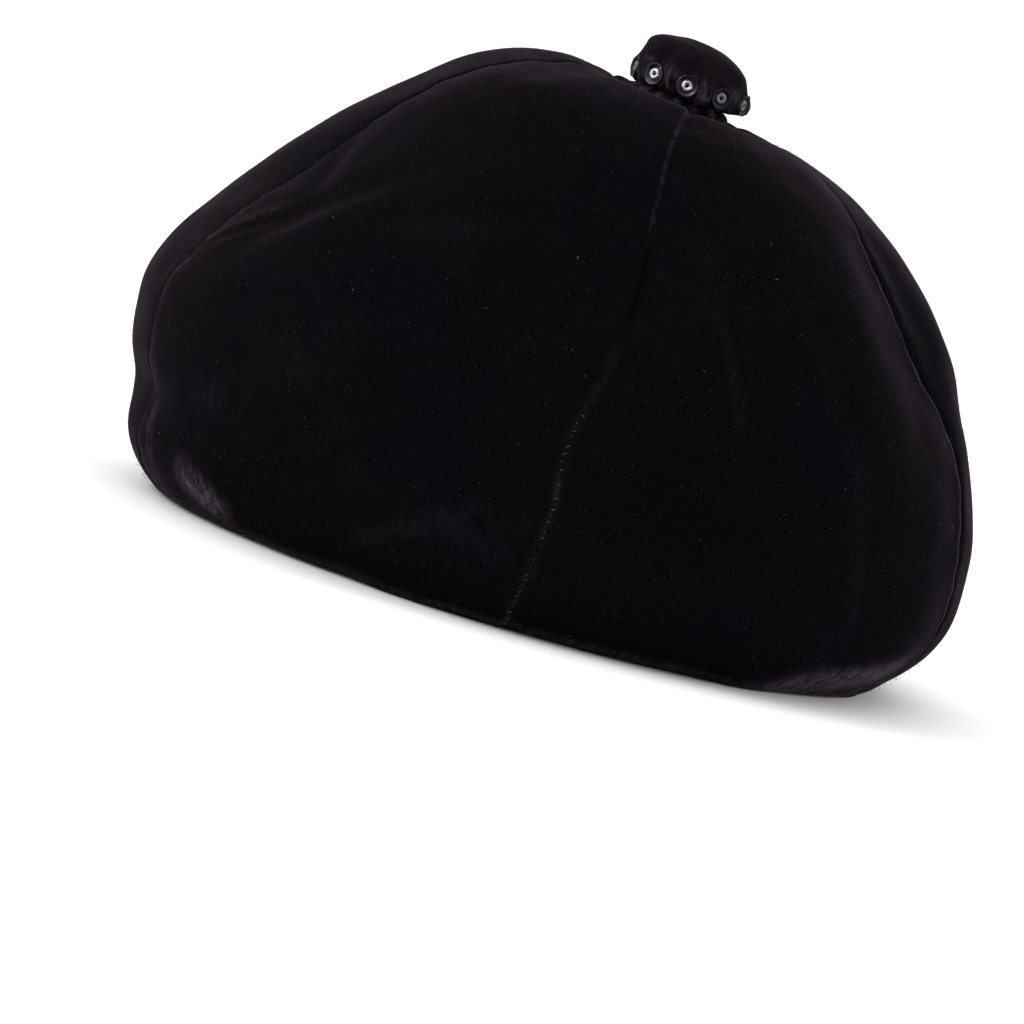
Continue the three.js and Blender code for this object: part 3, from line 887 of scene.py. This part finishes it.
def make_sewn_ring():
    """The ring of sequins and the ring of beads, each one mesh."""
    tree = sewn_ring_tree()
    sequin_back = SEQUIN_BACK + SEQUIN_CLEAR
    bead_middle = SEQUIN_BACK + SEWN_GAP + BEAD_LENGTH / 2
    rings = (
        ("sequin", foil, sequin_profile(), SEQUIN_SIDES, False, sequin_back, 0.05, 3, "sequin"),
        ("bead", glass, bead_profile(), BEAD_SIDES, True, bead_middle, 0.09, 5, "bead"),
    )
    for name, material, profile, sides, smooth, radius, tip, seed, slot in rings:
        piece = turned_piece(f"{name}_ring", profile, sides, smooth)
        values = {
            "Count": SEQUINS,
            "First Angle": FIRST_SEQUIN,
            "Ring Radius": radius * MM,
            "Tip": tip,
            "Seed": seed,
            "Material": material,
        }
        apply_nodes(piece, tree, values)
        point_value(piece, "shade_and_dull", np.repeat(SHADE_AND_DULLNESS, len(piece.data.vertices) // SEQUINS))
        place = SEQUIN_RING_PLACE.copy()
        place.translation *= MM
        piece.data.transform(place)
        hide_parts(*[f"{name}_{i + 1}" for i in range(SEQUINS)])
        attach(piece, "root")


make_sewn_ring()


def stitch_tree():
    """Short bowed stitches that cross a route, with uneven spacing, slant and size."""
    tree, start, end = new_group(
        "Seam stitches",
        "GeometryNodeTree",
        [
            ("Geometry", "NodeSocketGeometry", None),
            ("Pitch", "NodeSocketFloat", 0.0023),
            ("Length", "NodeSocketFloat", 0.0010),
            ("Thread Radius", "NodeSocketFloat", 0.00016),
            ("Wander", "NodeSocketFloat", 0.00035),
            ("Seed", "NodeSocketInt", 1),
            ("Material", "NodeSocketMaterial", None),
        ],
        [("Geometry", "NodeSocketGeometry")],
    )
    given = start.outputs
    route = add(tree, "GeometryNodeMeshToCurve", {0: given["Geometry"]}).outputs[0]
    spots = add(tree, "GeometryNodeResampleCurve", {
        "Curve": route,
        "Length": given["Pitch"],
    }, mode="LENGTH")
    outward_way = add(tree, "GeometryNodeInputNamedAttribute", {
        "Name": "outward",
    }, data_type="FLOAT_VECTOR")
    tangent = add(tree, "GeometryNodeInputTangent").outputs[0]
    facing = add(tree, "FunctionNodeAxesToRotation", {
        "Primary Axis": outward_way.outputs[0],
        "Secondary Axis": tangent,
    }, primary_axis="Z", secondary_axis="Y").outputs[0]
    half = math_node(tree, "MULTIPLY", given["Length"], 0.5)
    back = math_node(tree, "MULTIPLY", given["Length"], -0.5)
    rise = math_node(tree, "MULTIPLY", given["Length"], 0.8)
    bow = add(tree, "GeometryNodeCurveQuadraticBezier", {
        "Resolution": 6,
        "Start": add(tree, "ShaderNodeCombineXYZ", {"X": back}).outputs[0],
        "Middle": add(tree, "ShaderNodeCombineXYZ", {"Z": rise}).outputs[0],
        "End": add(tree, "ShaderNodeCombineXYZ", {"X": half}).outputs[0],
    }).outputs[0]
    section = add(tree, "GeometryNodeCurvePrimitiveCircle", {
        "Resolution": 6,
        "Radius": given["Thread Radius"],
    })
    stitch = add(tree, "GeometryNodeCurveToMesh", {
        "Curve": bow,
        "Profile Curve": section.outputs[0],
        "Fill Caps": True,
    }).outputs[0]
    slant = random_number(tree, -0.7, 0.7, given["Seed"])
    laid = add(tree, "FunctionNodeRotateRotation", {
        "Rotation": facing,
        "Rotate By": add(tree, "ShaderNodeCombineXYZ", {"Z": slant}).outputs[0],
    }, rotation_space="LOCAL").outputs[0]
    size = random_number(tree, 0.55, 1.25, math_node(tree, "ADD", given["Seed"], 3.0))
    copies = add(tree, "GeometryNodeInstanceOnPoints", {
        "Points": spots.outputs[0],
        "Instance": stitch,
        "Rotation": laid,
        "Scale": size,
    }).outputs[0]
    least = math_node(tree, "MULTIPLY", given["Wander"], -1.0)
    astray = random_number(tree, least, given["Wander"], math_node(tree, "ADD", given["Seed"], 5.0))
    along = random_number(tree, -0.0006, 0.0006, math_node(tree, "ADD", given["Seed"], 9.0))
    shift = add(tree, "ShaderNodeCombineXYZ", {"X": astray, "Y": along}).outputs[0]
    moved = add(tree, "GeometryNodeTranslateInstances", {
        "Instances": copies,
        "Translation": shift,
    }).outputs[0]
    set_material_and_end(tree, moved, given["Material"], end)
    return tree


STITCHED_SEAM = 1
STITCHED_PLACES = (6.6, 10.9)
STITCH_ROUTE_POINTS = 120
PILE_HEIGHT = 0.15


def seam_route(gore):
    """The line along one seam, at the height of the pile, with its outward way."""
    place = np.linspace(*STITCHED_PLACES, STITCH_ROUTE_POINTS)
    edge, normal, _, _ = cloth(gore, np.full_like(place, -1.0), place)
    raised = edge + normal * PILE_HEIGHT
    route = mesh_object(f"seam_stitches_{gore + 1}", raised, [], [], smooth=False)
    route.data.edges.add(len(place) - 1)
    ends = np.stack([np.arange(len(place) - 1), np.arange(1, len(place))], axis=-1)
    route.data.edges.foreach_set("vertices", ends.ravel())
    way = route.data.attributes.new("outward", "FLOAT_VECTOR", "POINT")
    way.data.foreach_set("vector", normal.astype(np.float32).ravel())
    return route


stitches = seam_route(STITCHED_SEAM)
apply_nodes(stitches, stitch_tree(), {"Seed": 41, "Material": seam_thread})
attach(stitches, "root")


def lint_tree():
    """Scatters short bent fibres over a surface."""
    tree, start, end = new_group(
        "Lint",
        "GeometryNodeTree",
        [
            ("Geometry", "NodeSocketGeometry", None),
            ("Fibres", "NodeSocketFloat", 900.0),
            ("Length", "NodeSocketFloat", 0.002),
            ("Lift", "NodeSocketFloat", 0.0),
            ("Thickness", "NodeSocketFloat", 0.0001),
            ("Seed", "NodeSocketInt", 1),
            ("Material", "NodeSocketMaterial", None),
        ],
        [("Geometry", "NodeSocketGeometry")],
    )
    given = start.outputs
    spread = add(tree, "GeometryNodeDistributePointsOnFaces", {
        "Mesh": given["Geometry"],
        "Density": given["Fibres"],
        "Seed": given["Seed"],
    })
    half = math_node(tree, "MULTIPLY", given["Length"], 0.5)
    back = math_node(tree, "MULTIPLY", given["Length"], -0.5)
    rise = math_node(tree, "MULTIPLY", given["Length"], 0.22)
    left = add(tree, "ShaderNodeCombineXYZ", {"X": back}).outputs[0]
    right = add(tree, "ShaderNodeCombineXYZ", {"X": half, "Z": given["Lift"]}).outputs[0]
    middle = add(tree, "ShaderNodeCombineXYZ", {"Y": rise, "Z": rise}).outputs[0]
    bow = add(tree, "GeometryNodeCurveQuadraticBezier", {
        "Resolution": 3,
        "Start": left,
        "Middle": middle,
        "End": right,
    }).outputs[0]
    section = add(tree, "GeometryNodeCurvePrimitiveCircle", {
        "Resolution": 3,
        "Radius": given["Thickness"],
    }).outputs[0]
    fibre = add(tree, "GeometryNodeCurveToMesh", {
        "Curve": bow,
        "Profile Curve": section,
        "Fill Caps": True,
    }).outputs[0]
    turned = random_number(tree, 0.0, 2 * math.pi, given["Seed"])
    spin = add(tree, "ShaderNodeCombineXYZ", {"Z": turned}).outputs[0]
    laid = add(tree, "FunctionNodeRotateRotation", {
        "Rotation": spread.outputs["Rotation"],
        "Rotate By": spin,
    }, rotation_space="LOCAL").outputs[0]
    size = random_number(tree, 0.35, 1.5, math_node(tree, "ADD", given["Seed"], 3.0))
    copies = add(tree, "GeometryNodeInstanceOnPoints", {
        "Points": spread.outputs["Points"],
        "Instance": fibre,
        "Rotation": laid,
        "Scale": size,
    }).outputs[0]
    set_material_and_end(tree, copies, given["Material"], end)
    return tree


LINT_COLUMNS, LINT_ROWS = 41, 60
LINT_PLACES = (0.6, 10.4)
LINT_HEIGHT = 0.12


def lint_ground(name):
    """The crown's outer faces, lifted just clear of the pile, as one mesh."""
    columns = np.linspace(-1, 1, LINT_COLUMNS)
    rows = np.linspace(*LINT_PLACES, LINT_ROWS)
    across, place = np.meshgrid(columns, rows, indexing="ij")
    points, faces = [], []
    for gore in range(GORES):
        outer, normal, _, _ = cloth(gore, across, place)
        faces += grid_faces(LINT_COLUMNS, LINT_ROWS, start=gore * LINT_COLUMNS * LINT_ROWS)
        points.append((outer + normal * LINT_HEIGHT).reshape(-1, 3))
    return mesh_object(name, np.concatenate(points), faces, [])


def make_lint():
    """Lint caught on the velvet, and the stray ends of its pile, which soften its outline."""
    tree = lint_tree()
    # Name, material, fibres to a square metre, their length, lift and thickness in
    # metres, and seed.
    kinds = (
        ("white_lint", white_lint, 12500.0, 0.00033, 0.0, 0.000045, 11),
        ("warm_lint", warm_lint, 8000.0, 0.00036, 0.0, 0.000045, 37),
        ("pale_fibre", pale_fibre, 330.0, 0.0009, 0.0, 0.000040, 23),
        ("pile_ends", pile_end, 60000.0, 0.0004, 0.0009, 0.000028, 51),
    )
    for name, material, fibres, length, lift, thickness, seed in kinds:
        piece = lint_ground(name)
        values = {
            "Fibres": fibres,
            "Length": length,
            "Lift": lift,
            "Thickness": thickness,
            "Seed": seed,
            "Material": material,
        }
        apply_nodes(piece, tree, values)
        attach(piece, "root")


make_lint()


# Light, floor and camera

PHOTO_SIZE = 1024
PHOTO_CENTRE = (580, 352)
PIXELS_PER_METRE = 879 / 0.270

# The camera's bearing is degrees anticlockwise from the hat's front.
CAMERA_DISTANCE = 1.7
CAMERA_BEARING = math.radians(212.3)
CAMERA_ELEVATION = math.radians(4.0)
CAMERA_ROLL = math.radians(16.5)
AIM = Vector((0, 0, 0.075))
LIGHT_AIM = Vector((0, 0, 0.08))
BACKDROP = (0.85, -0.45, 0.28)
FLOOR_HALF = 60.0


def make_camera():
    """The photograph's view: a little above the hem, and rolled as the hat tips there."""
    level = math.cos(CAMERA_ELEVATION)
    back_x = math.sin(CAMERA_BEARING) * level
    back_y = -math.cos(CAMERA_BEARING) * level
    back = Vector((back_x, back_y, math.sin(CAMERA_ELEVATION)))
    side = Vector((math.cos(CAMERA_BEARING), math.sin(CAMERA_BEARING), 0))
    up = back.cross(side)
    right = side * math.cos(CAMERA_ROLL) + up * math.sin(CAMERA_ROLL)
    down = side * math.sin(CAMERA_ROLL) - up * math.cos(CAMERA_ROLL)
    middle = PHOTO_SIZE / 2
    shown = AIM + right * (middle - PHOTO_CENTRE[0]) / PIXELS_PER_METRE
    shown += down * (middle - PHOTO_CENTRE[1]) / PIXELS_PER_METRE
    data = bpy.data.cameras.new("camera")
    data.sensor_width = 36.0
    data.lens = data.sensor_width * PIXELS_PER_METRE * CAMERA_DISTANCE / PHOTO_SIZE
    data.clip_end = 200.0
    camera = bpy.data.objects.new("camera", data)
    bpy.context.scene.collection.objects.link(camera)
    camera.location = AIM + back * CAMERA_DISTANCE
    look = (shown - camera.location).normalized()
    right = (right - look * right.dot(look)).normalized()
    above = right.cross(look)
    turn = Matrix((right, above, -look)).transposed()
    camera.rotation_mode = "QUATERNION"
    camera.rotation_quaternion = turn.to_quaternion()
    bpy.context.scene.camera = camera


def make_light(name, bearing, height, distance, size, power):
    """A square soft light, aimed at the hat."""
    data = bpy.data.lights.new(name, "AREA")
    data.size, data.energy = size, power
    light = bpy.data.objects.new(name, data)
    bpy.context.scene.collection.objects.link(light)
    bearing = math.radians(bearing)
    light.location = (math.cos(bearing) * distance, math.sin(bearing) * distance, height)
    aim = LIGHT_AIM - light.location
    light.rotation_mode = "QUATERNION"
    light.rotation_quaternion = aim.to_track_quat("-Z", "Y")


def make_floor():
    """A plain pale floor that runs out of sight."""
    mesh = bpy.data.meshes.new("floor")
    corners = [(x * FLOOR_HALF, y * FLOOR_HALF, 0) for x, y in ((-1, -1), (1, -1), (1, 1), (-1, 1))]
    mesh.from_pydata(corners, [], [(0, 1, 2, 3)])
    material, _, shader = new_material("pale floor")
    shader.inputs["Base Color"].default_value = (0.92, 0.92, 0.92, 1)
    shader.inputs["Roughness"].default_value = 0.9
    shader.inputs["Specular IOR Level"].default_value = 0.1
    mesh.materials.append(material)
    floor = bpy.data.objects.new("floor", mesh)
    bpy.context.scene.collection.objects.link(floor)


def make_studio():
    """Light from a bright backdrop and a dimmer room, seen by the camera as plain white."""
    world = bpy.data.worlds.new("studio")
    world.use_nodes = True
    tree = world.node_tree
    direction = add(tree, "ShaderNodeTexCoord").outputs["Generated"]
    away = add(tree, "ShaderNodeVectorMath", {0: direction, 1: BACKDROP}, operation="DOT_PRODUCT")
    glow = ranged(tree, away.outputs["Value"], 0.45, 1.75, -0.7, 0.5, interpolation_type="SMOOTHSTEP")
    seen = add(tree, "ShaderNodeLightPath").outputs["Is Camera Ray"]
    strength = add(tree, "ShaderNodeMix", {0: seen, 2: glow, 3: 1.15}, data_type="FLOAT").outputs[0]
    tree.nodes["Background"].inputs["Color"].default_value = (1, 1, 1, 1)
    tree.links.new(strength, tree.nodes["Background"].inputs["Strength"])
    bpy.context.scene.world = world
    bpy.context.scene.view_settings.view_transform = "Standard"


make_camera()
make_floor()
make_studio()
make_light("window", 60, 1.6, 2.2, 1.4, 30.0)
make_light("right strip", 215, 0.9, 2.0, 0.8, 14.0)
